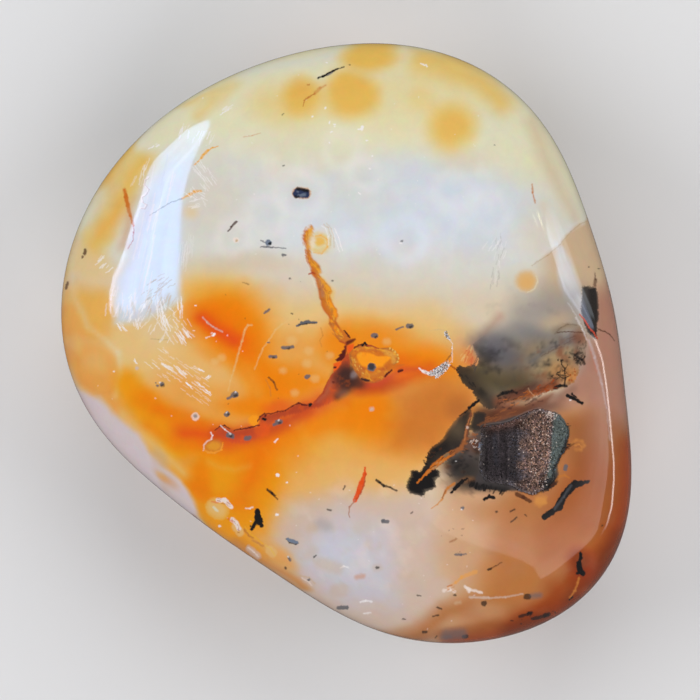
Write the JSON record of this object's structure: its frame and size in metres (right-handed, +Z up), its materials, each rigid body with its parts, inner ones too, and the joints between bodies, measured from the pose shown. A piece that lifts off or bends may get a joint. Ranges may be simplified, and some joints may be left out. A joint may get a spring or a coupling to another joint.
{
  "type": "carnelian palm stone",
  "caption": "Polished freeform palm stone of banded orange, honey and milky chalcedony, with a small crystal-lined pocket in its crown.",
  "frame": {"origin": "under the middle of the stone's bounding box, on the surface that its ground flat rests on", "axes": "+Z up out of the polished crown, +Y towards the narrow domed end that the picture shows at the top, +X towards the side with the crystal pocket"},
  "size_m": [0.0568, 0.0596, 0.024],
  "materials": {
    "chalcedony": "mirror-polished translucent chalcedony: milky lavender, cream and honey clouds over orange and ember red, with smoky black inclusions",
    "druse": "unpolished crust of tiny smoky quartz crystals, purple-black to brown and grey-green, sparkling"
  },
  "bodies": {
    "root": {"palm_stone": "chalcedony", "quartz_crust": "druse"}
  },
  "joints": []
}
